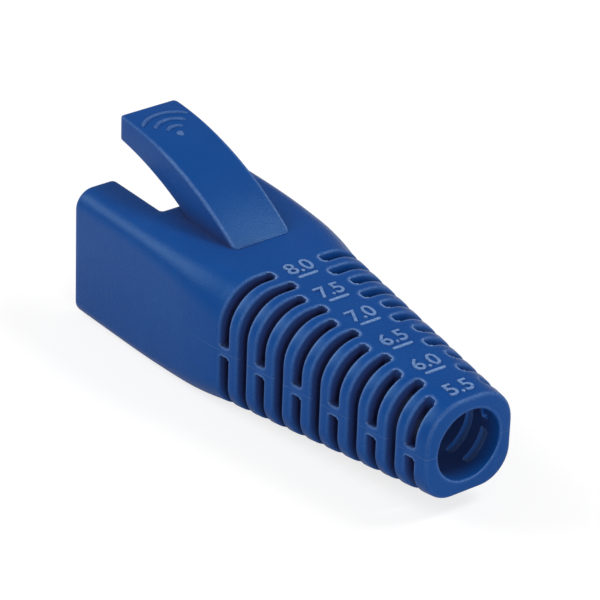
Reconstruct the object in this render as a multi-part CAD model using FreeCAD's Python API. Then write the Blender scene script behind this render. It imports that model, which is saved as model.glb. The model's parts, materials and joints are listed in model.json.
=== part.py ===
import FreeCAD, Part
import math
import os

# Strain relief boot for an RJ45 plug, moulded in one piece from soft plastic.
# X runs along the cable from the mouth (X = 0) to the end of the tail, Y across, Z up.
# The origin is the centre of the mouth face: it lies on the cable axis and on the parting
# plane of the mould. All lengths are in millimetres, angles in degrees.

# The plug's body, over which the shroud slips, and the cables that suit it
plug_width = 11.7
plug_height = 7.0
plug_clearance = 0.25
thickest_cable = 8.0
thinnest_cable = 5.5

# Shroud
side_wall = 0.8
roof_wall = 1.2
floor_wall = 1.8
cavity_depth = 13.0
cavity_corner = 0.25
mouth_chamfer = 0.35
mouth_rim = 0.15

# Shoulder and tail, which narrow towards the cable
boot_length = 38.2
straight_length = 13.1
shoulder_length = 4.2
shoulder_steps = 5
tail_wall = 1.05
tail_rim = 0.2
end_land = 1.0
land_lead_in = 0.12

# Radii of the long corners, which grow from a station on the shroud to the end of the shoulder
corner_growth_start = 6.0
corner_growth_steps = 4
top_corner_at_mouth = 1.5
top_corner_at_shoulder = 3.3
top_corner_at_tail = 3.0
bottom_corner_at_mouth = 1.2
bottom_corner_at_shoulder = 2.3
bottom_corner_at_tail = 2.5

# Slots that make the tail flexible, numbered from the shroud
slot_count = 11
slot_width = 0.85
slot_clear_of_shoulder = 0.575
collar_length = 1.225
wide_strip = 4.3
narrow_strip = 3.25
bridge_height = 0.75
rib_edge = 0.2

# Bars beside every other slot, at which the tail is cut back to suit a thicker cable
cut_mark_length = 1.9
cut_mark_width = 0.26
cut_mark_height = 0.12

# Notch in the roof for the plug's latch
notch_width = 6.8
notch_length = 6.15
notch_mouth_corner = 0.4
notch_rear_corner = 0.25

# Lever that presses the latch: a thin arched web with a rib under each side
lever_width = 5.15
lever_overhang = 0.7
lever_root = 14.1
lever_rise = 4.9
lever_radius = 26.0
lever_web = 0.95
lever_side_rib = 0.68
lever_tip_depth = 1.85
lever_gap_length = 8.4
lever_tip_corner = 0.6

# Grip ridges: a dot and arcs about it on the top of the lever
grip_count = 3
grip_pitch = 0.95
grip_centre = 3.7
grip_dot_diameter = 0.6
grip_half_angle = 48.0
grip_ridge_width = 0.34
grip_ridge_height = 0.14

# Sizes that follow from those above
cavity_half_width = plug_width / 2 + plug_clearance
half_width = cavity_half_width + side_wall
half_height = plug_height / 2 + plug_clearance + (roof_wall + floor_wall) / 2
cavity_high = half_height - roof_wall
cavity_low = floor_wall - half_height
tail_half = thinnest_cable / 2 + tail_wall
taper_start = straight_length + shoulder_length
first_slot = taper_start + slot_clear_of_shoulder + slot_width / 2
last_slot = boot_length - collar_length - slot_width / 2
slot_pitch = (last_slot - first_slot) / (slot_count - 1)
slots = [first_slot + slot_pitch * step for step in range(slot_count)]
second_slot = slots[1]
tip_high = half_height + lever_rise
overlap = 0.5


def taper(x):
    """Share of the narrowing reached at station x: none on the shroud, all at the tail end."""
    run = boot_length - taper_start + shoulder_length / 2
    if x <= straight_length:
        return 0.0
    if x < taper_start:
        return (x - straight_length) ** 2 / (2 * shoulder_length * run)
    return (x - taper_start + shoulder_length / 2) / run


def half_width_at(x):
    return half_width + (tail_half - half_width) * taper(x)


def half_height_at(x):
    return half_height + (tail_half - half_height) * taper(x)


def corner_at(x, at_mouth, at_shoulder, at_tail):
    """Radius of a long corner: it grows ever faster towards the shoulder, then changes evenly."""
    if x <= corner_growth_start:
        return at_mouth
    if x <= taper_start:
        share = (x - corner_growth_start) / (taper_start - corner_growth_start)
        return at_mouth + (at_shoulder - at_mouth) * share ** 2
    share = (x - taper_start) / (boot_length - taper_start)
    return at_shoulder + (at_tail - at_shoulder) * share


def corner_points(x, y, z, turn_y, turn_z, radius):
    """Start, middle and end of the quarter circle inside the corner (y, z), in the plane X = x."""
    centre = FreeCAD.Vector(x, y - turn_y * radius, z - turn_z * radius)
    middle = radius * math.sqrt(0.5)
    on_side = centre + FreeCAD.Vector(0, turn_y * radius, 0)
    between = centre + FreeCAD.Vector(0, turn_y * middle, turn_z * middle)
    on_top = centre + FreeCAD.Vector(0, 0, turn_z * radius)
    return on_side, between, on_top


def rounded_section(x, y_half, z_low, z_high, low_radius, high_radius):
    """Rectangle with round corners, in the plane X = x."""
    corners = [
        corner_points(x, y_half, z_high, 1, 1, high_radius),
        corner_points(x, -y_half, z_high, -1, 1, high_radius)[::-1],
        corner_points(x, -y_half, z_low, -1, -1, low_radius),
        corner_points(x, y_half, z_low, 1, -1, low_radius)[::-1],
    ]
    edges = []
    for corner, following in zip(corners, corners[1:] + corners[:1]):
        edges.append(Part.Arc(*corner).toShape())
        edges.append(Part.LineSegment(corner[2], following[0]).toShape())
    return Part.Wire(edges)


def outer_section(x, inset):
    """Outline of the boot at station x, drawn in by inset."""
    y_half = half_width_at(x) - inset
    z_half = half_height_at(x) - inset
    low_radius = corner_at(x, bottom_corner_at_mouth, bottom_corner_at_shoulder, bottom_corner_at_tail)
    high_radius = corner_at(x, top_corner_at_mouth, top_corner_at_shoulder, top_corner_at_tail)
    return rounded_section(x, y_half, -z_half, z_half, low_radius - inset, high_radius - inset)


def chamfered_edge(x, size, inwards):
    """Stations (x, inset) at the edge of a flat end face at x; inwards is 1 or -1 along X."""
    return [(x, size), (x + inwards * size, 0)]


def block(stations):
    """Solid length of the boot through stations (x, inset)."""
    return Part.makeLoft([outer_section(x, inset) for x, inset in stations], True, True)


def box(x_low, x_high, y_low, y_high, z_low, z_high):
    size = (x_high - x_low, y_high - y_low, z_high - z_low)
    return Part.makeBox(*size, FreeCAD.Vector(x_low, y_low, z_low))


def rib_blocks():
    """Shroud with its shoulder, then the ribs between the slots, then the plain collar."""
    growth_pitch = (straight_length - corner_growth_start) / corner_growth_steps
    growth = [(corner_growth_start + growth_pitch * step, 0) for step in range(corner_growth_steps)]
    shoulder_pitch = shoulder_length / shoulder_steps
    shoulder = [(straight_length + shoulder_pitch * step, 0) for step in range(shoulder_steps + 1)]
    starts = [chamfered_edge(0, mouth_rim, 1) + growth + shoulder]
    starts += [chamfered_edge(x + slot_width / 2, rib_edge, 1) for x in slots]
    ends = [chamfered_edge(x - slot_width / 2, rib_edge, -1)[::-1] for x in slots]
    ends += [chamfered_edge(boot_length, tail_rim, -1)[::-1]]
    return [block(start + end) for start, end in zip(starts, ends)]


def slot_webs():
    """What crosses each slot: a strip at the top and bottom, and at every other slot a side bridge."""
    webs = []
    for number, x in enumerate(slots):
        bridged = number % 2 == 0
        x_low = x - slot_width / 2 - rib_edge
        x_high = x + slot_width / 2 + rib_edge
        filled = block([(x_low, 0), (x_high, 0)])
        strip = (wide_strip if bridged else narrow_strip) / 2
        webs.append(filled.common(box(x_low, x_high, -strip, strip, -half_height, half_height)))
        if bridged:
            half = bridge_height / 2
            webs.append(filled.common(box(x_low, x_high, -half_width, half_width, -half, half)))
    return webs


def plug_cavity():
    """Space for the back of the plug, its mouth chamfered at the sides and the floor."""
    flared_half = cavity_half_width + mouth_chamfer
    flared_low = cavity_low - mouth_chamfer
    stations = [
        (-overlap, flared_half, flared_low),
        (0, flared_half, flared_low),
        (mouth_chamfer, cavity_half_width, cavity_low),
        (cavity_depth, cavity_half_width, cavity_low),
    ]
    sections = [
        rounded_section(x, y_half, low, cavity_high, cavity_corner, cavity_corner)
        for x, y_half, low in stations
    ]
    return Part.makeLoft(sections, True, True)


def cable_passage():
    """Round passage from the cavity to the tail end, for the thickest down to the thinnest cable."""
    wide = thickest_cable / 2
    narrow = thinnest_cable / 2
    outline = [
        (cavity_depth - overlap, 0),
        (cavity_depth - overlap, wide),
        (second_slot, wide),
        (boot_length - end_land, narrow),
        (boot_length - land_lead_in, narrow),
        (boot_length, narrow + land_lead_in),
        (boot_length + overlap, narrow + land_lead_in),
        (boot_length + overlap, 0),
    ]
    points = [FreeCAD.Vector(x, 0, z) for x, z in outline]
    face = Part.Face(Part.makePolygon(points + points[:1]))
    return face.revolve(FreeCAD.Vector(0, 0, 0), FreeCAD.Vector(1, 0, 0), 360)


def upright_edges(shape, x):
    """Edges of shape that run along Z in the plane X = x."""
    return [
        edge
        for edge in shape.Edges
        if abs(edge.CenterOfMass.x - x) < 0.001 and abs(edge.tangentAt(edge.FirstParameter).z) > 0.99
    ]


def latch_notch():
    """Opening in the roof for the latch, its corners rounded off at the mouth."""
    y_half = notch_width / 2
    z_low = cavity_high - overlap
    z_high = half_height + overlap
    notch = box(-overlap, notch_length, -y_half, y_half, z_low, z_high)
    notch = notch.makeFillet(notch_rear_corner, upright_edges(notch, notch_length))
    flares = []
    for side in (-1, 1):
        y_low, y_high = sorted((side * (y_half - overlap), side * (y_half + notch_mouth_corner)))
        flare = box(-overlap, notch_mouth_corner, y_low, y_high, z_low, z_high)
        centre = FreeCAD.Vector(notch_mouth_corner, side * (y_half + notch_mouth_corner), z_low)
        flares.append(flare.cut(Part.makeCylinder(notch_mouth_corner, z_high - z_low, centre)))
    return notch.fuse(flares)


def arc_centre(left, right, radius):
    """Centre (x, z) of the arc that bulges up between two points (x, z)."""
    run = right[0] - left[0]
    rise = right[1] - left[1]
    chord = math.hypot(run, rise)
    reach = math.sqrt(radius ** 2 - (chord / 2) ** 2)
    return (left[0] + right[0]) / 2 + rise / chord * reach, (left[1] + right[1]) / 2 - run / chord * reach


def arc_between(start, end, radius):
    """Arc in the plane Y = 0 between two points (x, z), bulging up."""
    centre = arc_centre(*sorted((start, end)), radius)
    spoke = FreeCAD.Vector(start[0] + end[0] - 2 * centre[0], 0, start[1] + end[1] - 2 * centre[1])
    middle = FreeCAD.Vector(centre[0], 0, centre[1]) + spoke.normalize() * radius
    ends = [FreeCAD.Vector(x, 0, z) for x, z in (start, end)]
    return Part.Arc(ends[0], middle, ends[1]).toShape()


def extruded(corners, arcs, width):
    """Outline of (x, z) corners made a solid centred on Y = 0; arcs holds the radius of each curved side."""
    edges = []
    for number, (start, end) in enumerate(zip(corners, corners[1:] + corners[:1])):
        if number in arcs:
            edges.append(arc_between(start, end, arcs[number]))
        else:
            points = [FreeCAD.Vector(x, 0, z) for x, z in (start, end)]
            edges.append(Part.LineSegment(*points).toShape())
    face = Part.Face(Part.Wire(edges))
    face.translate(FreeCAD.Vector(0, -width / 2, 0))
    return face.extrude(FreeCAD.Vector(0, width, 0))


def lever():
    """Lever whose tip overhangs the mouth and whose top meets the roof at its root, its foot sunk in it."""
    sunk = half_height - roof_wall / 2
    tip = (-lever_overhang, tip_high)
    root = (lever_root, half_height)
    corners = [
        (-lever_overhang, tip_high - lever_tip_depth),
        tip,
        root,
        (lever_root, sunk),
        (lever_gap_length, sunk),
        (lever_gap_length, half_height),
    ]
    arm = extruded(corners, {1: lever_radius, 5: lever_radius}, lever_width)
    arm = arm.makeFillet(lever_tip_corner, upright_edges(arm, -lever_overhang))
    centre_x, centre_z = arc_centre(tip, root, lever_radius)
    web_radius = lever_radius - lever_web
    web_high = centre_z + math.sqrt(web_radius ** 2 - (lever_overhang + centre_x) ** 2)
    web_root = centre_x + math.sqrt(web_radius ** 2 - (half_height - centre_z) ** 2)
    hollow_corners = [
        (-lever_overhang - overlap, half_height),
        (-lever_overhang - overlap, web_high),
        (-lever_overhang, web_high),
        (web_root, half_height),
    ]
    return arm.cut(extruded(hollow_corners, {2: web_radius}, lever_width - 2 * lever_side_rib))


def grip_ridges():
    """Dot near the lever's tip and raised arcs about it, which keep a finger from slipping."""
    skin_corners = [
        (-lever_overhang, tip_high - lever_web / 2),
        (-lever_overhang, tip_high + grip_ridge_height),
        (lever_root, half_height + grip_ridge_height),
        (lever_root, half_height - lever_web / 2),
    ]
    skin = extruded(skin_corners, {1: lever_radius, 3: lever_radius}, lever_width)
    base = FreeCAD.Vector(grip_centre, 0, half_height)
    up = FreeCAD.Vector(0, 0, 1)
    height = lever_rise + overlap
    ridges = [Part.makeCylinder(grip_dot_diameter / 2, height, base).common(skin)]
    for number in range(1, grip_count + 1):
        inner = number * grip_pitch - grip_ridge_width / 2
        sector = Part.makeCylinder(inner + grip_ridge_width, height, base, up, 2 * grip_half_angle)
        sector = sector.cut(Part.makeCylinder(inner, height, base, up))
        sector.rotate(base, up, 180 - grip_half_angle)
        ridges.append(sector.common(skin))
    return ridges


def cut_marks():
    """Raised bars on top, each along the shroud side of an unbridged slot."""
    marks = []
    y_half = cut_mark_length / 2
    for x in slots[1::2]:
        x_high = x - slot_width / 2
        x_low = x_high - cut_mark_width
        surface = half_height_at(x_high)
        marks.append(box(x_low, x_high, -y_half, y_half, surface - overlap, surface + cut_mark_height))
    return marks


def strain_relief_boot():
    shroud, *ribs = rib_blocks()
    body = shroud.fuse(ribs + slot_webs())
    body = body.cut([plug_cavity(), cable_passage(), latch_notch()])
    return body.fuse([lever()] + grip_ridges() + cut_marks()).removeSplitter()


boot = strain_relief_boot()
os.makedirs("parts", exist_ok=True)
boot.exportStep("parts/strain_relief_boot.step")
print("solids:", len(boot.Solids), "valid:", boot.isValid(), "volume:", round(boot.Volume, 1), "mm3")
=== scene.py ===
import json
import math

import bmesh
import bpy
from mathutils import Matrix, Vector

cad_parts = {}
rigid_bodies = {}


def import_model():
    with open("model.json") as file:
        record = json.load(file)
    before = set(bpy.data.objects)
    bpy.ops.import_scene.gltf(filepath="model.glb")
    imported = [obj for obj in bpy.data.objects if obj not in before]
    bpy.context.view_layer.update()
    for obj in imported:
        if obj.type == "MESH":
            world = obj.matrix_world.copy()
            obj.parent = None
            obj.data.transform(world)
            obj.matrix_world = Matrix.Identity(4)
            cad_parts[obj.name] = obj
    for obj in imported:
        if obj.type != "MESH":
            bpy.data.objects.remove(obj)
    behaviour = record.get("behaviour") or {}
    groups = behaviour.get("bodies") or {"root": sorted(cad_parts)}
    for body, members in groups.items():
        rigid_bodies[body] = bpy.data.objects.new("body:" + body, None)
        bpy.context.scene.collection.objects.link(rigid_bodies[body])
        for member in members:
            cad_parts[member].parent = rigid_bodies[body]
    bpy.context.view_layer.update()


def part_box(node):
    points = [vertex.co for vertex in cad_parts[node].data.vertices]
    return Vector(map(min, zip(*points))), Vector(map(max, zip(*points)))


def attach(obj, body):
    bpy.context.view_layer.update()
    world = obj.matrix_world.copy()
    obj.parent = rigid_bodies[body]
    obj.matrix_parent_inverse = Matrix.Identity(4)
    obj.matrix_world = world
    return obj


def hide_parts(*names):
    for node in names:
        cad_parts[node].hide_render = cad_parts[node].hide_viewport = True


for leftover in list(bpy.data.objects):
    bpy.data.objects.remove(leftover)
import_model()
scene = bpy.context.scene

# ---- The view ---------------------------------------------------------------------------
# The boot lies on a table and is seen from above its tail, with the lever at the far left.
# The camera stands well back with a long lens, so that far ends shrink only a little.

mm = 0.001
low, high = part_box("strain_relief_boot")
camera_distance = 268.4 * mm
camera_azimuth = math.radians(-38.47)
camera_elevation = math.radians(29.12)
camera_roll = math.radians(2.19)

camera_data = bpy.data.cameras.new("camera")
camera_data.lens = 222.0
camera_data.sensor_width = 36.0
camera_data.clip_start = 0.01
camera = bpy.data.objects.new("camera", camera_data)
scene.collection.objects.link(camera)
aim = (low + high) / 2
to_camera = Vector((
    math.cos(camera_elevation) * math.cos(camera_azimuth),
    math.cos(camera_elevation) * math.sin(camera_azimuth),
    math.sin(camera_elevation),
))
turn = to_camera.to_track_quat("Z", "Y").to_matrix().to_4x4()
camera.matrix_world = (
    Matrix.Translation(aim + to_camera * camera_distance) @ turn @ Matrix.Rotation(camera_roll, 4, "Z")
)
scene.camera = camera


# ---- Slotted tail and shroud: the outer form --------------------------------------------
# The boot is moulded in one piece from soft blue plastic. Its section is a rounded rectangle that
# narrows over a shoulder and along the tail, where slots leave ribs. One rule gives the shroud, the
# ribs and the end collar: a row of blocks with rounded rims, joined by the webs of the next section.

class Link:
    """An output in a node tree. Sums with it add Math nodes, which give Links in turn."""

    def __init__(self, net, socket):
        self.net = net
        self.socket = socket

    def __add__(self, other):
        return self.net.math("ADD", self, other)

    def __radd__(self, other):
        return self.net.math("ADD", other, self)

    def __sub__(self, other):
        return self.net.math("SUBTRACT", self, other)

    def __rsub__(self, other):
        return self.net.math("SUBTRACT", other, self)

    def __mul__(self, other):
        return self.net.math("MULTIPLY", self, other)

    def __rmul__(self, other):
        return self.net.math("MULTIPLY", other, self)

    def __truediv__(self, other):
        return self.net.math("DIVIDE", self, other)

    def __rtruediv__(self, other):
        return self.net.math("DIVIDE", other, self)

    def __mod__(self, other):
        return self.net.math("MODULO", self, other)

    def __floordiv__(self, other):
        return self.net.math("FLOOR", self / other)

    def __pow__(self, other):
        return self.net.math("POWER", self, other)


class Net:
    """A node tree that is being wired."""

    def __init__(self, tree):
        self.tree = tree

    def add(self, kind, settings=None, values=None, output=0):
        """One node with its settings and the values or Links of its sockets; gives an output's Link."""
        node = self.tree.nodes.new(kind)
        for name, setting in (settings or {}).items():
            setattr(node, name, setting)
        for key, value in (values or {}).items():
            if isinstance(value, list):
                for link in value:
                    self.tree.links.new(link.socket, node.inputs[key])
            elif isinstance(value, Link):
                self.tree.links.new(value.socket, node.inputs[key])
            else:
                node.inputs[key].default_value = value
        return Link(self, node.outputs[output]) if node.outputs else None

    def math(self, operation, *values):
        return self.add("ShaderNodeMath", {"operation": operation}, dict(enumerate(values)))

    def sine(self, degrees):
        return self.math("SINE", self.math("RADIANS", degrees))

    def cosine(self, degrees):
        return self.math("COSINE", self.math("RADIANS", degrees))

    def clamped(self, value):
        return self.add("ShaderNodeClamp", values={"Value": value})

    def vector(self, x, y, z):
        return self.add("ShaderNodeCombineXYZ", values={"X": x, "Y": y, "Z": z})

    def split(self, vector):
        """Links to the x, y and z of a vector."""
        node = self.tree.nodes.new("ShaderNodeSeparateXYZ")
        self.tree.links.new(vector.socket, node.inputs["Vector"])
        return [Link(self, part) for part in node.outputs]

    def mixed(self, share, first, second):
        """A colour between two others."""
        return self.add("ShaderNodeMix", {"data_type": "RGBA"}, {0: share, 6: first, 7: second}, output=2)


def geometry_net(name, sizes, counts=()):
    """Empty geometry tree with named inputs; gives its net and a Link to each input."""
    tree = bpy.data.node_groups.new(name, "GeometryNodeTree")
    tree.interface.new_socket("Geometry", in_out="OUTPUT", socket_type="NodeSocketGeometry")
    for size in sizes:
        tree.interface.new_socket(size, in_out="INPUT", socket_type="NodeSocketFloat")
    for count in counts:
        tree.interface.new_socket(count, in_out="INPUT", socket_type="NodeSocketInt")
    net = Net(tree)
    entry = tree.nodes.new("NodeGroupInput")
    inputs = {label: Link(net, entry.outputs[label]) for label in (*sizes, *counts)}
    return net, inputs


merge_distance = 0.001


def end_with(net, geometry):
    """Last nodes of a geometry tree: instances made real, the plastic set, the output."""
    real = net.add("GeometryNodeRealizeInstances", values={"Geometry": geometry})
    joined = net.add("GeometryNodeMergeByDistance", values={
        "Geometry": real,
        "Distance": merge_distance,
    })
    shown = net.add("GeometryNodeSetMaterial", values={"Geometry": joined, "Material": blue_plastic})
    exit_node = net.tree.nodes.new("NodeGroupOutput")
    net.tree.links.new(shown.socket, exit_node.inputs["Geometry"])


def plain_mesh(obj):
    """Turns what an object's modifiers make into its own mesh."""
    bpy.context.view_layer.update()
    evaluated = obj.evaluated_get(bpy.context.evaluated_depsgraph_get())
    mesh = bpy.data.meshes.new_from_object(evaluated)
    obj.modifiers.clear()
    obj.data = mesh
    return obj


def grown(name, net, values):
    """Object with the mesh that a geometry tree makes from these values."""
    obj = bpy.data.objects.new(name, bpy.data.meshes.new(name))
    scene.collection.objects.link(obj)
    modifier = obj.modifiers.new(name, "NODES")
    modifier.node_group = net.tree
    for item in net.tree.interface.items_tree:
        if item.name in values:
            modifier[item.identifier] = values[item.name]
    return plain_mesh(obj)


blue_plastic = bpy.data.materials.new("blue_plastic")

boot_length = high.x / mm
half_width = high.y / mm
half_height = -low.z / mm
straight_length = 13.1
shoulder_length = 4.2
top_corner = 1.5
bottom_corner = 1.2
corner_growth_start = 6.0
shoulder_top_corner = 3.3
shoulder_bottom_corner = 2.3
tail_top_corner = 3.0
tail_bottom_corner = 2.5
tail_half = 3.8
mouth_rim = 0.15
tail_rim = 0.2
rib_edge = 0.17
slot_count = 11
slot_width = 0.85
first_slot = 18.3
last_slot = boot_length - 1.65
slot_pitch = (last_slot - first_slot) / (slot_count - 1)
corner_steps = 12
rim_steps = 4

block_net, block = geometry_net(
    "row_of_blocks",
    ["First Start", "Pitch", "Block Length", "Start Rim", "End Rim", "Boot Length", "Half Width",
     "Half Height", "Tail Half", "Straight Length", "Shoulder Length", "Top Corner", "Bottom Corner",
     "Corner Growth Start", "Shoulder Top Corner", "Shoulder Bottom Corner", "Tail Top Corner",
     "Tail Bottom Corner"],
    ["Blocks", "Corner Steps", "Rim Steps", "Middle Steps"],
)
round_points = 4 * (block["Corner Steps"] + 1)
stations = 2 * block["Rim Steps"] + block["Middle Steps"] + 3
tube = block_net.add("GeometryNodeMeshGrid", values={
    "Vertices X": stations,
    "Vertices Y": round_points + 1,
})
row = block_net.add("GeometryNodeMeshLine", values={"Count": block["Blocks"]})
copies = block_net.add("GeometryNodeInstanceOnPoints", values={"Points": row, "Instance": tube})
tubes = block_net.add("GeometryNodeRealizeInstances", values={"Geometry": copies})

index = block_net.add("GeometryNodeInputIndex")
tube_points = stations * (round_points + 1)
block_number = index // tube_points
index_in_tube = index - block_number * tube_points
station = index_in_tube // (round_points + 1)
round_step = (index_in_tube - station * (round_points + 1)) % round_points
start_turn = 90 * block_net.clamped((station - 1) / block["Rim Steps"])
end_turn = 90 * block_net.clamped((stations - 2 - station) / block["Rim Steps"])
along = block_net.clamped((station - 1 - block["Rim Steps"]) / block["Middle Steps"])
start = block["First Start"] + block_number * block["Pitch"]
middle_length = block["Block Length"] - block["Start Rim"] - block["End Rim"]
x = (
    start
    + block["Start Rim"] * (1 - block_net.cosine(start_turn))
    + middle_length * along
    + block["End Rim"] * block_net.cosine(end_turn)
)
inset = (
    block["Start Rim"] * (1 - block_net.sine(start_turn))
    + block["End Rim"] * (1 - block_net.sine(end_turn))
)
past_straight = block_net.math("MAXIMUM", x - block["Straight Length"], 0.0)
in_shoulder = block_net.math("MINIMUM", past_straight, block["Shoulder Length"])
past_shoulder = past_straight - in_shoulder
run = block["Boot Length"] - block["Straight Length"] - block["Shoulder Length"] / 2
taper = (in_shoulder * in_shoulder / (2 * block["Shoulder Length"]) + past_shoulder) / run
tail_share = past_shoulder / (run - block["Shoulder Length"] / 2)
quadrant = round_step // (block["Corner Steps"] + 1)
corner_share = (round_step - quadrant * (block["Corner Steps"] + 1)) / block["Corner Steps"]
angle = 90 * (quadrant + corner_share)
side_y = block_net.math("SIGN", block_net.cosine(90 * quadrant + 45))
side_z = block_net.math("SIGN", block_net.sine(90 * quadrant + 45))
upper = (side_z + 1) / 2
shroud_corner = block["Bottom Corner"] + (block["Top Corner"] - block["Bottom Corner"]) * upper
shoulder_corner = (
    block["Shoulder Bottom Corner"]
    + (block["Shoulder Top Corner"] - block["Shoulder Bottom Corner"]) * upper
)
tail_corner = (
    block["Tail Bottom Corner"]
    + (block["Tail Top Corner"] - block["Tail Bottom Corner"]) * upper
)
growth_start = block["Corner Growth Start"]
growth_end = block["Straight Length"] + block["Shoulder Length"]
growth = block_net.clamped((x - growth_start) / (growth_end - growth_start))
corner = (
    shroud_corner
    + (shoulder_corner - shroud_corner) * growth * growth
    + (tail_corner - shoulder_corner) * tail_share
    - inset
)
y_half = block["Half Width"] + (block["Tail Half"] - block["Half Width"]) * taper - inset
z_half = block["Half Height"] + (block["Tail Half"] - block["Half Height"]) * taper - inset
inner = block_net.clamped(station) * block_net.clamped(stations - 1 - station)
y = inner * (side_y * (y_half - corner) + corner * block_net.cosine(angle))
z = inner * (side_z * (z_half - corner) + corner * block_net.sine(angle))
shaped = block_net.add(
    "GeometryNodeSetPosition", values={"Geometry": tubes, "Position": block_net.vector(x, y, z)}
)
end_with(block_net, block_net.add("GeometryNodeFlipFaces", values={"Mesh": shaped}))

outer_form = {
    "Boot Length": boot_length,
    "Half Width": half_width,
    "Half Height": half_height,
    "Tail Half": tail_half,
    "Straight Length": straight_length,
    "Shoulder Length": shoulder_length,
    "Top Corner": top_corner,
    "Bottom Corner": bottom_corner,
    "Corner Growth Start": corner_growth_start,
    "Shoulder Top Corner": shoulder_top_corner,
    "Shoulder Bottom Corner": shoulder_bottom_corner,
    "Tail Top Corner": tail_top_corner,
    "Tail Bottom Corner": tail_bottom_corner,
    "Corner Steps": corner_steps,
    "Rim Steps": rim_steps,
}


def blocks(name, count, first_start, length, start_rim, end_rim, middle_steps):
    return grown(name, block_net, {
        **outer_form,
        "Blocks": count,
        "First Start": first_start,
        "Pitch": slot_pitch,
        "Block Length": length,
        "Start Rim": start_rim,
        "End Rim": end_rim,
        "Middle Steps": middle_steps,
    })


shroud_end = first_slot - slot_width / 2
first_rib = first_slot + slot_width / 2
rib_length = slot_pitch - slot_width
collar_start = last_slot + slot_width / 2
shroud = blocks("shroud", 1, 0.0, shroud_end, mouth_rim, rib_edge, 40)
ribs = blocks("ribs", slot_count - 1, first_rib, rib_length, rib_edge, rib_edge, 2)
collar = blocks("collar", 1, collar_start, boot_length - collar_start, rib_edge, tail_rim, 2)


# ---- Webs across the slots ---------------------------------------------------------------
# A strip along the top, wide enough for the numerals, and a narrower one below tie the ribs
# together, with a bridge at mid-height on both sides of every other slot. All are moulded as one,
# and small round corners join the webs to the ribs.

def combined(body, operation, *tools):
    """Joins tools to a closed body, cuts them from it or keeps what both hold."""
    for tool in tools:
        modifier = body.modifiers.new(tool.name, "BOOLEAN")
        modifier.operation = operation
        modifier.solver = "MANIFOLD"
        modifier.object = tool
    plain_mesh(body)
    for tool in tools:
        bpy.data.objects.remove(tool)
    return body


wide_strip = 4.3
narrow_strip = 3.25
under_strip = 2.3
bridge_height = 0.75
slot_end_radius = 0.25
bridge_end_radius = 0.15

bar_net, bar = geometry_net(
    "bars_across_slots",
    ["First", "Pitch", "Length", "Odd Width", "Even Width", "Under Width", "Height", "Slot Width",
     "End Radius"],
    ["Count"],
)
bar_row = bar_net.add("GeometryNodeMeshLine", values={
    "Count": bar["Count"],
    "Start Location": bar_net.vector(bar["First"], 0.0, 0.0),
    "Offset": bar_net.vector(bar["Pitch"], 0.0, 0.0),
})
is_even = bar_net.add("GeometryNodeInputIndex") % 2
bar_width = bar["Odd Width"] + (bar["Even Width"] - bar["Odd Width"]) * is_even
bars = bar_net.add("GeometryNodeRealizeInstances", values={
    "Geometry": bar_net.add("GeometryNodeInstanceOnPoints", values={
        "Points": bar_row,
        "Instance": bar_net.add("GeometryNodeMeshCube", values={"Vertices X": 29, "Vertices Z": 4}),
        "Scale": bar_net.vector(bar["Length"], bar_width, bar["Height"]),
    }),
})
bar_x, bar_y, bar_z = bar_net.split(bar_net.add("GeometryNodeInputPosition"))
off_centre = bar_net.math(
    "ABSOLUTE", (bar_x - bar["First"] + 1.5 * bar["Pitch"]) % bar["Pitch"] - bar["Pitch"] / 2
)
past_flat = bar_net.math("MAXIMUM", off_centre - bar["Slot Width"] / 2 + bar["End Radius"], 0.0)
past_flat = bar_net.math("MINIMUM", past_flat, bar["End Radius"])
spread = bar["End Radius"] - bar_net.math("SQRT", bar["End Radius"] ** 2 - past_flat ** 2)
bar_half = bar_net.math("ABSOLUTE", bar_y)
is_under = bar_net.math("LESS_THAN", bar_z, 0.0)
bar_half = bar_half + (bar["Under Width"] / 2 - bar_half) * is_under
flared = bar_net.add("GeometryNodeSetPosition", values={
    "Geometry": bars,
    "Position": bar_net.vector(
        bar_x,
        (bar_half + spread) * bar_net.math("SIGN", bar_y),
        bar_z + spread * bar_net.math("SIGN", bar_z),
    ),
})
end_with(bar_net, flared)

web_length = slot_width + 2 * rib_edge
strips = blocks("strips", slot_count, first_slot - web_length / 2, web_length, 0.0, 0.0, 1)
bridges = blocks("bridges", slot_count, first_slot - web_length / 2, web_length, 0.0, 0.0, 1)
strip_limits = grown("strip_limits", bar_net, {
    "First": first_slot,
    "Pitch": slot_pitch,
    "Length": 2 * slot_width,
    "Odd Width": wide_strip,
    "Even Width": narrow_strip,
    "Under Width": under_strip,
    "Height": 2 * half_height,
    "Slot Width": slot_width,
    "End Radius": slot_end_radius,
    "Count": slot_count,
})
bridge_limits = grown("bridge_limits", bar_net, {
    "First": first_slot,
    "Pitch": 2 * slot_pitch,
    "Length": 2 * slot_width,
    "Odd Width": 4 * half_width,
    "Even Width": 4 * half_width,
    "Under Width": 4 * half_width,
    "Height": bridge_height,
    "Slot Width": slot_width,
    "End Radius": bridge_end_radius,
    "Count": (slot_count + 1) // 2,
})
combined(strips, "INTERSECT", strip_limits)
combined(bridges, "INTERSECT", bridge_limits)
boot = combined(shroud, "UNION", ribs, collar, strips, bridges)
boot.name = "boot_moulding"


# ---- Cable passage, plug cavity and latch notch -------------------------------------------
# Core pins of the mould leave these: a square cavity for the back of the plug, a round passage
# that narrows to the thinnest cable, and an opening in the roof for the plug's latch.

def closed(mesh):
    """Joins points that lie on each other and turns all faces outward."""
    tidy = bmesh.new()
    tidy.from_mesh(mesh)
    bmesh.ops.remove_doubles(tidy, verts=tidy.verts, dist=merge_distance)
    bmesh.ops.recalc_face_normals(tidy, faces=tidy.faces)
    tidy.to_mesh(mesh)
    tidy.free()
    return mesh


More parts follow.
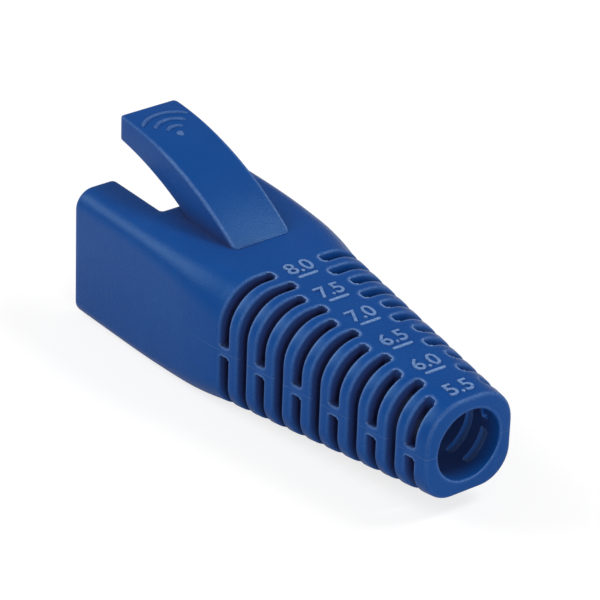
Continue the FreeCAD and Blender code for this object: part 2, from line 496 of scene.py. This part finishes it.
def loft(name, rings):
    """Closed solid through rings of equally many points, flat at both ends."""
    count = len(rings[0])
    points = [point for ring in rings for point in ring]
    last = len(points) - count
    faces = [tuple(range(count)), tuple(range(last, len(points)))]
    for here in range(0, last, count):
        there = here + count
        for step in range(count):
            following = (step + 1) % count
            faces.append((here + step, here + following, there + following, there + step))
    mesh = bpy.data.meshes.new(name)
    mesh.from_pydata(points, [], faces)
    obj = bpy.data.objects.new(name, closed(mesh))
    scene.collection.objects.link(obj)
    return obj


def arc_points(centre_u, centre_v, radius, start_angle, end_angle, steps):
    """Points (u, v) on an arc, its angles in degrees."""
    points = []
    for step in range(steps + 1):
        turned = math.radians(start_angle + (end_angle - start_angle) * step / steps)
        points.append((centre_u + radius * math.cos(turned), centre_v + radius * math.sin(turned)))
    return points


def rounded_section(x, y_half, z_low, z_high, low_radius, high_radius, steps=6):
    """Ring in the plane X = x: a rectangle with round corners."""
    outline = (
        arc_points(y_half - high_radius, z_high - high_radius, high_radius, 0, 90, steps)
        + arc_points(-y_half + high_radius, z_high - high_radius, high_radius, 90, 180, steps)
        + arc_points(-y_half + low_radius, z_low + low_radius, low_radius, 180, 270, steps)
        + arc_points(y_half - low_radius, z_low + low_radius, low_radius, 270, 360, steps)
    )
    return [(x, y, z) for y, z in outline]


overlap = 0.5
side_wall = 0.8
roof_wall = 1.2
floor_wall = 1.8
cavity_depth = 13.0
cavity_half_width = half_width - side_wall
cavity_high = half_height - roof_wall
cavity_low = floor_wall - half_height
cavity_corner = 0.25
mouth_chamfer = 0.35

# Shares of the chamfer, inward along the boot and outward: its two edges are a little rounded.
flare = [(-overlap, 1.15), (0.0, 1.15), (0.15, 0.85), (0.85, 0.1), (1.1, 0.0)]
cavity_rings = [
    rounded_section(
        share_x * mouth_chamfer if share_x > 0 else share_x,
        cavity_half_width + share_out * mouth_chamfer,
        cavity_low - share_out * mouth_chamfer,
        cavity_high,
        cavity_corner,
        cavity_corner,
    )
    for share_x, share_out in flare
]
cavity_rings.append(
    rounded_section(cavity_depth, cavity_half_width, cavity_low, cavity_high, cavity_corner, cavity_corner)
)
cavity = loft("cavity", cavity_rings)

thickest_cable = 8.0
thinnest_cable = 5.5
end_land = 1.0
bore_rim = 0.15
bore_rim_steps = 5
bore_sides = 96
wide_radius = thickest_cable / 2
narrow_radius = thinnest_cable / 2
bore_lip = [
    (boot_length - bore_rim + x, narrow_radius + bore_rim - r)
    for x, r in arc_points(0, 0, bore_rim, 90, 0, bore_rim_steps)
]
passage_stations = [
    (cavity_depth - overlap, wide_radius),
    (first_slot + slot_pitch, wide_radius),
    (boot_length - end_land, narrow_radius),
    *bore_lip,
    (boot_length + overlap, narrow_radius + bore_rim),
]
passage = loft("passage", [
    [(x, y, z) for y, z in arc_points(0, 0, radius, 0, 360, bore_sides)[:-1]]
    for x, radius in passage_stations
])

notch_half = 3.4
notch_length = 6.15
notch_mouth_corner = 0.4
notch_rear_corner = 0.25


def notch_ring(z, growth):
    """Plan of the notch at height z, grown all round: round lips at the mouth, small rear corners."""
    lip_centre = notch_half + notch_mouth_corner
    side = (
        [(-overlap, lip_centre)]
        + arc_points(notch_mouth_corner, lip_centre, notch_mouth_corner - growth, 180, 270, 2 * rim_steps)
        + arc_points(notch_length - notch_rear_corner, notch_half - notch_rear_corner,
                     notch_rear_corner + growth, 90, 0, rim_steps)
    )
    return [(x, y, z) for x, y in side] + [(x, -y, z) for x, y in reversed(side)]


notch_rings = [notch_ring(cavity_high - overlap, 0.0)]
notch_rings += [
    notch_ring(half_height - mouth_rim + z, mouth_rim - growth)
    for growth, z in arc_points(0, 0, mouth_rim, 0, 90, rim_steps)
]
notch_rings.append(notch_ring(half_height + overlap, mouth_rim))
notch = loft("notch", notch_rings)
boot = combined(boot, "DIFFERENCE", passage, cavity, notch)


# ---- Lever ---------------------------------------------------------------------------------
# The lever springs from the roof behind the notch and arches over it: a thin web with a rib
# under each side. Pressing its tip frees the plug's latch. It is one with the shroud.

lever_half = 2.575
lever_overhang = 0.7
lever_root = 14.1
lever_rise = 4.9
lever_radius = 26.0
lever_web = 0.95
lever_side_rib = 0.68
lever_tip_depth = 1.85
lever_gap_length = 8.4
lever_tip_corner = 0.6
lever_root_corner = 0.35
lever_edge = 0.16
lever_low_edge = 0.08
tip_rim = 0.35
root_step = 0.05
root_depth = 0.6
hollow_corner = 0.15
turn_steps = 12
gap_steps = 20
root_steps = 14
hollow_steps = 24


def arc_centre(drop, length):
    """Centre (x, z) of an arc that falls by drop from the tip and meets the roof at x = length."""
    run = length + lever_overhang
    chord = math.hypot(run, drop)
    reach = math.sqrt(lever_radius ** 2 - (chord / 2) ** 2)
    centre_x = (length - lever_overhang) / 2 - drop / chord * reach
    centre_z = half_height + drop / 2 - run / chord * reach
    return centre_x, centre_z


top_centre = arc_centre(lever_rise, lever_root)
underside_centre = arc_centre(lever_rise - lever_tip_depth, lever_gap_length)


def on_arc(centre, radius, x):
    return centre[1] + math.sqrt(radius ** 2 - (x - centre[0]) ** 2)


def lever_top(x):
    return on_arc(top_centre, lever_radius, x)


def lever_underside(x):
    return on_arc(underside_centre, lever_radius, x)


def lever_ring(x, z_low):
    """Section of the lever at x, narrower in the round corners of its ends."""
    radius = lever_tip_corner if x < lever_gap_length else lever_root_corner
    from_end = min(x + lever_overhang, lever_root - x)
    corner_gap = min(max(radius - from_end, 0), radius)
    y_half = lever_half - radius + math.sqrt(radius ** 2 - corner_gap ** 2)
    rim_gap = min(max(tip_rim - x - lever_overhang, 0), tip_rim)
    drawn_in = tip_rim - math.sqrt(tip_rim ** 2 - rim_gap ** 2)
    z_high = max(lever_top(x) - drawn_in, half_height + root_step)
    return rounded_section(x, y_half, z_low + drawn_in, z_high, lever_low_edge, lever_edge)


turns = [math.radians(90 * step / turn_steps) for step in range(turn_steps + 1)]
tip_stations = [lever_tip_corner * (1 - math.cos(turned)) - lever_overhang for turned in turns]
gap_start = tip_stations[-1]
gap_run = lever_gap_length - gap_start
gap_stations = [gap_start + gap_run * step / gap_steps for step in range(1, gap_steps + 1)]
root_start = lever_root - lever_root_corner
root_run = root_start - lever_gap_length
root_stations = [lever_gap_length + root_run * step / root_steps for step in range(root_steps + 1)]
root_stations += [root_start + lever_root_corner * math.sin(turned) for turned in turns[1:]]
lever = loft("lever", (
    [lever_ring(x, lever_underside(x)) for x in tip_stations + gap_stations]
    + [lever_ring(x, half_height - root_depth) for x in root_stations]
))

web_radius = lever_radius - lever_web
web_root = top_centre[0] + math.sqrt(web_radius ** 2 - (half_height - top_centre[1]) ** 2)
hollow_half = lever_half - lever_side_rib
hollow_run = web_root + lever_overhang
hollow_stations = [hollow_run * step / hollow_steps - lever_overhang for step in range(hollow_steps - 1)]
hollow_rings = [
    rounded_section(x, hollow_half, half_height, on_arc(top_centre, web_radius, x), 0.0, hollow_corner)
    for x in hollow_stations
]
hollow_rings.insert(0, [(-lever_overhang - overlap, y, z) for _, y, z in hollow_rings[0]])
hollow = loft("hollow", hollow_rings)
lever = combined(lever, "DIFFERENCE", hollow)
boot = combined(boot, "UNION", lever)


# ---- Grip ridges ---------------------------------------------------------------------------
# Raised arcs about one centre near the lever's tip keep a finger from slipping. They are part of
# the moulding, as wide as a fingernail's edge, and die away at their ends.

grip_count = 3
grip_pitch = 0.95
grip_centre = 3.7
grip_dot_diameter = 0.6
grip_half_angle = 48.0
grip_ridge_width = 0.34
grip_ridge_height = 0.14
end_bluntness = 12

grip_net, grip = geometry_net(
    "grip_ridges",
    ["Centre", "Pitch", "Dot Diameter", "Half Angle", "Ridge Width", "Ridge Height", "Lever Radius", "Arc X",
     "Arc Z"],
    ["Count"],
)
grip_row = grip_net.add("GeometryNodeMeshLine", values={"Count": grip["Count"], "Offset": (0.0, 0.0, 0.0)})
half_sweep = grip_net.math("RADIANS", grip["Half Angle"])
unit_arc = grip_net.add("GeometryNodeCurveArc", values={
    "Resolution": 49,
    "Radius": 1.0,
    "Start Angle": math.pi - half_sweep,
    "Sweep Angle": 2 * half_sweep,
})
arc_size = (grip_net.add("GeometryNodeInputIndex") + 1) * grip["Pitch"]
arcs = grip_net.add("GeometryNodeRealizeInstances", values={
    "Geometry": grip_net.add("GeometryNodeInstanceOnPoints", values={
        "Points": grip_row,
        "Instance": unit_arc,
        "Scale": grip_net.vector(arc_size, arc_size, arc_size),
    }),
})
end_share = 2 * grip_net.add("GeometryNodeSplineParameter") - 1
fullness = grip_net.math("SQRT", 1 - grip_net.math("ABSOLUTE", end_share) ** end_bluntness)
profile = grip_net.add("GeometryNodeCurvePrimitiveCircle", values={
    "Resolution": 16, "Radius": grip["Ridge Width"] / 2,
})
ridge_tubes = grip_net.add("GeometryNodeCurveToMesh", values={
    "Curve": arcs,
    "Profile Curve": profile,
    "Scale": fullness,
    "Fill Caps": True,
})
ball = grip_net.add("GeometryNodeMeshUVSphere", values={
    "Segments": 24, "Rings": 12, "Radius": grip["Dot Diameter"] / 2,
})
dot = grip_net.add("GeometryNodeTransform", values={
    "Geometry": ball,
    "Scale": grip_net.vector(1.0, 1.0, grip["Ridge Width"] / grip["Dot Diameter"]),
})
raised = grip_net.add("GeometryNodeJoinGeometry", values={"Geometry": [ridge_tubes, dot]})
ridge_x, ridge_y, ridge_z = grip_net.split(grip_net.add("GeometryNodeInputPosition"))
ridge_x = ridge_x + grip["Centre"]
ridge_z = (
    ridge_z * grip["Ridge Height"] / (grip["Ridge Width"] / 2)
    + grip["Arc Z"]
    + grip_net.math("SQRT", grip["Lever Radius"] ** 2 - (ridge_x - grip["Arc X"]) ** 2)
)
ridges_laid = grip_net.add("GeometryNodeSetPosition", values={
    "Geometry": raised,
    "Position": grip_net.vector(ridge_x, ridge_y, ridge_z),
})
end_with(grip_net, ridges_laid)
grip_ridges = grown("grip_ridges", grip_net, {
    "Centre": grip_centre,
    "Pitch": grip_pitch,
    "Dot Diameter": grip_dot_diameter,
    "Half Angle": grip_half_angle,
    "Ridge Width": grip_ridge_width,
    "Ridge Height": grip_ridge_height,
    "Lever Radius": lever_radius,
    "Arc X": top_centre[0],
    "Arc Z": top_centre[1],
    "Count": grip_count,
})


# ---- Cut marks and numerals ------------------------------------------------------------------
# Raised bars show where the tail is cut back. The raised number beside every other slot gives the
# diameter, in millimetres, of the cable that suits a cut there: thickest by the shroud, thinnest
# at the end.

cut_mark_length = 1.9
cut_mark_width = 0.26
cut_mark_height = 0.12
taper_run = boot_length - straight_length - shoulder_length / 2
tail_slope = (half_height - tail_half) / taper_run
first_mark = first_slot + slot_pitch - slot_width / 2 - cut_mark_width / 2


def tail_top(x):
    return tail_half + (boot_length - x) * tail_slope


mark_net, mark = geometry_net(
    "cut_marks", ["First", "Pitch", "Length", "Width", "Height", "Top", "Slope"], ["Count"]
)
mark_row = mark_net.add("GeometryNodeMeshLine", values={
    "Count": mark["Count"],
    "Start Location": mark_net.vector(mark["First"], 0.0, mark["Top"]),
    "Offset": mark_net.vector(mark["Pitch"], 0.0, 0 - mark["Pitch"] * mark["Slope"]),
})
mark_line = mark_net.add("GeometryNodeResampleCurve", values={
    "Count": 25,
    "Curve": mark_net.add("GeometryNodeCurvePrimitiveLine", values={
        "Start": mark_net.vector(0.0, 0 - mark["Length"] / 2, 0.0),
        "End": mark_net.vector(0.0, mark["Length"] / 2, 0.0),
    }),
})
mark_end = 2 * mark_net.add("GeometryNodeSplineParameter") - 1
mark_tube = mark_net.add("GeometryNodeCurveToMesh", values={
    "Curve": mark_line,
    "Profile Curve": mark_net.add("GeometryNodeCurvePrimitiveCircle", values={
        "Resolution": 12, "Radius": mark["Width"] / 2,
    }),
    "Scale": mark_net.math("SQRT", 1 - mark_net.math("ABSOLUTE", mark_end) ** end_bluntness),
    "Fill Caps": True,
})
mark_copies = mark_net.add("GeometryNodeInstanceOnPoints", values={
    "Points": mark_row,
    "Instance": mark_tube,
    "Scale": mark_net.vector(1.0, 1.0, mark["Height"] / (mark["Width"] / 2)),
})
end_with(mark_net, mark_copies)
cut_marks = grown("cut_marks", mark_net, {
    "First": first_mark,
    "Pitch": 2 * slot_pitch,
    "Length": cut_mark_length,
    "Width": cut_mark_width,
    "Height": cut_mark_height,
    "Top": tail_top(first_mark),
    "Slope": tail_slope,
    "Count": slot_count // 2,
})

numeral_height = 1.4
height_per_type_size = 0.73
numeral_shift = 0.2
numeral_rise = 0.1
numeral_depth = 0.6
cable_step = 0.5
numerals = []
for cut in range((slot_count + 1) // 2):
    writing = bpy.data.curves.new("numeral", "FONT")
    writing.body = f"{thickest_cable - cable_step * cut:.1f}"
    writing.size = numeral_height / height_per_type_size
    writing.align_x = "CENTER"
    writing.align_y = "CENTER"
    writing.extrude = numeral_depth / 2
    writing.bevel_depth = 0.03
    writing.bevel_resolution = 1
    writing.resolution_u = 4
    written = bpy.data.objects.new("written", writing)
    scene.collection.objects.link(written)
    numeral_mesh = closed(bpy.data.meshes.new_from_object(written))
    numeral = bpy.data.objects.new(f"numeral_{cut + 1}", numeral_mesh)
    scene.collection.objects.link(numeral)
    bpy.data.objects.remove(written)
    numeral_x = first_slot + 2 * cut * slot_pitch + numeral_shift
    upright = Matrix(((0, -1, 0), (1, 0, 0), (0, 0, 1))).to_4x4()
    tilt = Matrix.Rotation(math.atan(tail_slope), 4, "Y")
    numeral_z = tail_top(numeral_x) + numeral_rise - numeral_depth / 2 - writing.bevel_depth
    spot = Matrix.Translation((numeral_x, 0, numeral_z))
    numeral.data.transform(spot @ tilt @ upright)
    numerals.append(numeral)


# ---- Blue plastic ------------------------------------------------------------------------------
# A soft, satin polymer dyed through in royal blue. The mould's fine spark-eroded grain shows in the
# gloss, a painted highlight pales the upward corners, and the mould's halves leave a faint line along
# both sides at mid-height. Slots and passage are painted darker as shade, since little light finds its way
# in.

royal_blue = (0.0050, 0.058, 0.265, 1.0)
lighter_blue = (0.0085, 0.075, 0.300, 1.0)
shaded_navy = (0.028, 0.028, 0.085, 1.0)
pale_highlight_and_seam_blue = (0.19, 0.32, 0.6, 1.0)
grain_scale = 6000.0
cloud_scale = 260.0
grain_depth = 0.035 * mm
corner_reach = 0.32 * mm
shade_reach = 2.2 * mm
parting_half_width = 0.05
skin = 0.05
sharp_angle = math.radians(32)

blue_plastic.use_nodes = True
shader = Net(blue_plastic.node_tree)
shader.tree.nodes.clear()
place = shader.add("ShaderNodeTexCoord", output=3)
along_x, across_y, up_z = (part / mm for part in shader.split(place))
grain = shader.add("ShaderNodeTexNoise", values={
    "Vector": place,
    "Scale": grain_scale,
    "Detail": 4.0,
    "Roughness": 0.65,
})
cloud = shader.add("ShaderNodeTexNoise", values={"Vector": place, "Scale": cloud_scale, "Detail": 3.0})

# Painted highlight on corners, where little plastic lies behind; strongest on top and along the tail.
near_corner = 1 - shader.add(
    "ShaderNodeAmbientOcclusion",
    {"samples": 6, "inside": True, "only_local": True},
    {"Distance": corner_reach},
    output=1,
)
at_corner = shader.clamped(near_corner * 4.0 - 0.4)
outward = shader.add("ShaderNodeTexCoord", output=1)
facing_up = shader.split(outward)[2]
highlight_weight = shader.clamped(0.4 + 1.5 * facing_up) * (0.3 + 0.7 * shader.clamped((along_x - 3.0) / 3))
openness = shader.add(
    "ShaderNodeAmbientOcclusion",
    {"samples": 6, "only_local": True},
    {"Distance": shade_reach},
    output=1,
)

# Parting line: at mid-height on the outside of the sides and of the tail's end.
half_width_here = shader.math(
    "MINIMUM", half_width, tail_half + (boot_length - along_x) * (half_width - tail_half) / taper_run
)
on_outside = shader.math(
    "MAXIMUM",
    shader.math("GREATER_THAN", shader.math("ABSOLUTE", across_y), half_width_here - 0.3),
    shader.math("GREATER_THAN", along_x, boot_length - skin),
)
at_parting = shader.clamped(1.6 - shader.math("ABSOLUTE", up_z) / parting_half_width)
seam = on_outside * at_parting * shader.clamped((along_x - 14) / 3)

# Passage: what lies within the cone. Most light comes in through the slots on the far side.
cone_end = boot_length - end_land
cone_share = shader.clamped((cone_end - along_x) / (cone_end - first_slot - slot_pitch))
passage_edge = narrow_radius + skin + (wide_radius - narrow_radius) * cone_share
in_passage = (
    shader.math("LESS_THAN", across_y * across_y + up_z * up_z, passage_edge * passage_edge)
    * shader.math("GREATER_THAN", along_x, cavity_depth + 0.1)
)
deep_in = in_passage * shader.clamped((boot_length - along_x - 0.15) / 1.5)
# Painted shade: hollows are mixed toward navy, more deep in the passage; the +Y side is painted lighter.
bright_side = 0.9 * shader.clamped((across_y + 0.3) / 1.5)
lit = shader.clamped((openness - 0.25) * 1.5 + bright_side) * (1 - 0.6 * deep_in)

# Painted highlight: corners are mixed toward a pale blue, which also marks the parting line.
painted_edge_highlight = at_corner * (2.4 * grain - 0.35) * openness ** 2 * highlight_weight * (1 - in_passage)
dyed = shader.mixed(cloud, royal_blue, lighter_blue)
shaded = shader.mixed(lit, shaded_navy, dyed)
base_with_painted_light = shader.mixed(shader.clamped(painted_edge_highlight + 0.08 * seam), shaded, pale_highlight_and_seam_blue)
bump = shader.add("ShaderNodeBump", values={
    "Strength": 0.6, "Distance": grain_depth, "Height": grain + 0.8 * seam,
})
surface = shader.add("ShaderNodeBsdfPrincipled", values={
    "Base Color": base_with_painted_light,
    "Roughness": 0.2 + 0.2 * grain + 0.4 * deep_in,
    "IOR": 1.45,
    "Specular IOR Level": 0.2,
    "Specular Tint": (0.4, 0.8, 1.0, 1.0),
    "Normal": bump,
})
shader.add("ShaderNodeOutputMaterial", values={"Surface": surface})

for piece in (boot, grip_ridges, cut_marks, *numerals):
    piece.data.transform(Matrix.Scale(mm, 4))
    piece.data.materials.clear()
    piece.data.materials.append(blue_plastic)
    piece.data.shade_smooth()
    piece.data.set_sharp_from_angle(angle=sharp_angle)
    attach(piece, "root")
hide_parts("strain_relief_boot")


# ---- Table and light -----------------------------------------------------------------------------
# A matt white table, evenly bright away from the boot, stands in a white room. Three soft square
# lamps hang half a metre away: over the boot's left side, low before its tail and behind it.

table_reach = 3.0
table_height = low.z - 0.02 * mm
table_colour = (0.8, 0.8, 0.8, 1.0)
white_light = (1.0, 1.0, 1.0, 1.0)
glow_strength = 1.25
glow_near_boot = 0.6
glow_start = 0.1
glow_rise = 0.3
room_light = 0.22
lamp_distance = 0.5

table_mesh = bpy.data.meshes.new("table_top")
table_mesh.from_pydata(
    [
        (-table_reach, -table_reach, table_height),
        (table_reach, -table_reach, table_height),
        (table_reach, table_reach, table_height),
        (-table_reach, table_reach, table_height),
    ],
    [],
    [(0, 1, 2, 3)],
)
table_top = bpy.data.objects.new("table_top", table_mesh)
scene.collection.objects.link(table_top)
white = bpy.data.materials.new("white_table")
white.use_nodes = True
paint = Net(white.node_tree)
paint.tree.nodes.clear()
matt = paint.add("ShaderNodeBsdfDiffuse", values={"Color": table_colour})
glow = paint.add("ShaderNodeEmission", values={"Color": white_light, "Strength": glow_strength})
spot_x, spot_y, _ = paint.split(paint.add("ShaderNodeTexCoord", output=3))
spot_distance = paint.math("SQRT", spot_x * spot_x + spot_y * spot_y)
away_from_boot = paint.clamped((spot_distance - glow_start) / glow_rise)
table_white = glow_near_boot + (1 - glow_near_boot) * away_from_boot
table_seen = paint.add("ShaderNodeLightPath", output=0)
table_surface = paint.add("ShaderNodeMixShader", values={0: table_white * table_seen, 1: matt, 2: glow})
paint.add("ShaderNodeOutputMaterial", values={"Surface": table_surface})
table_mesh.materials.append(white)

world = bpy.data.worlds.new("room")
scene.world = world
world.use_nodes = True
room = Net(world.node_tree)
room.tree.nodes.clear()
room_seen = room.add("ShaderNodeLightPath", output=0)
sky = room.add("ShaderNodeBackground", values={
    "Color": white_light,
    "Strength": room_light + (1 - room_light) * room_seen,
})
room.add("ShaderNodeOutputWorld", values={"Surface": sky})

for name, azimuth, elevation, width, power in (
    ("key", -140, 37, 0.3, 1.4),
    ("front", -22, 20, 0.14, 0.8),
    ("back", 64, 52, 0.18, 1.1),
):
    lamp_data = bpy.data.lights.new(name, "AREA")
    lamp_data.size = width
    lamp_data.energy = power
    lamp = bpy.data.objects.new(name, lamp_data)
    scene.collection.objects.link(lamp)
    direction = Vector((
        math.cos(math.radians(elevation)) * math.cos(math.radians(azimuth)),
        math.cos(math.radians(elevation)) * math.sin(math.radians(azimuth)),
        math.sin(math.radians(elevation)),
    ))
    lamp_turn = direction.to_track_quat("Z", "Y").to_matrix().to_4x4()
    lamp.matrix_world = Matrix.Translation(aim + direction * lamp_distance) @ lamp_turn

scene.view_settings.view_transform = "Standard"
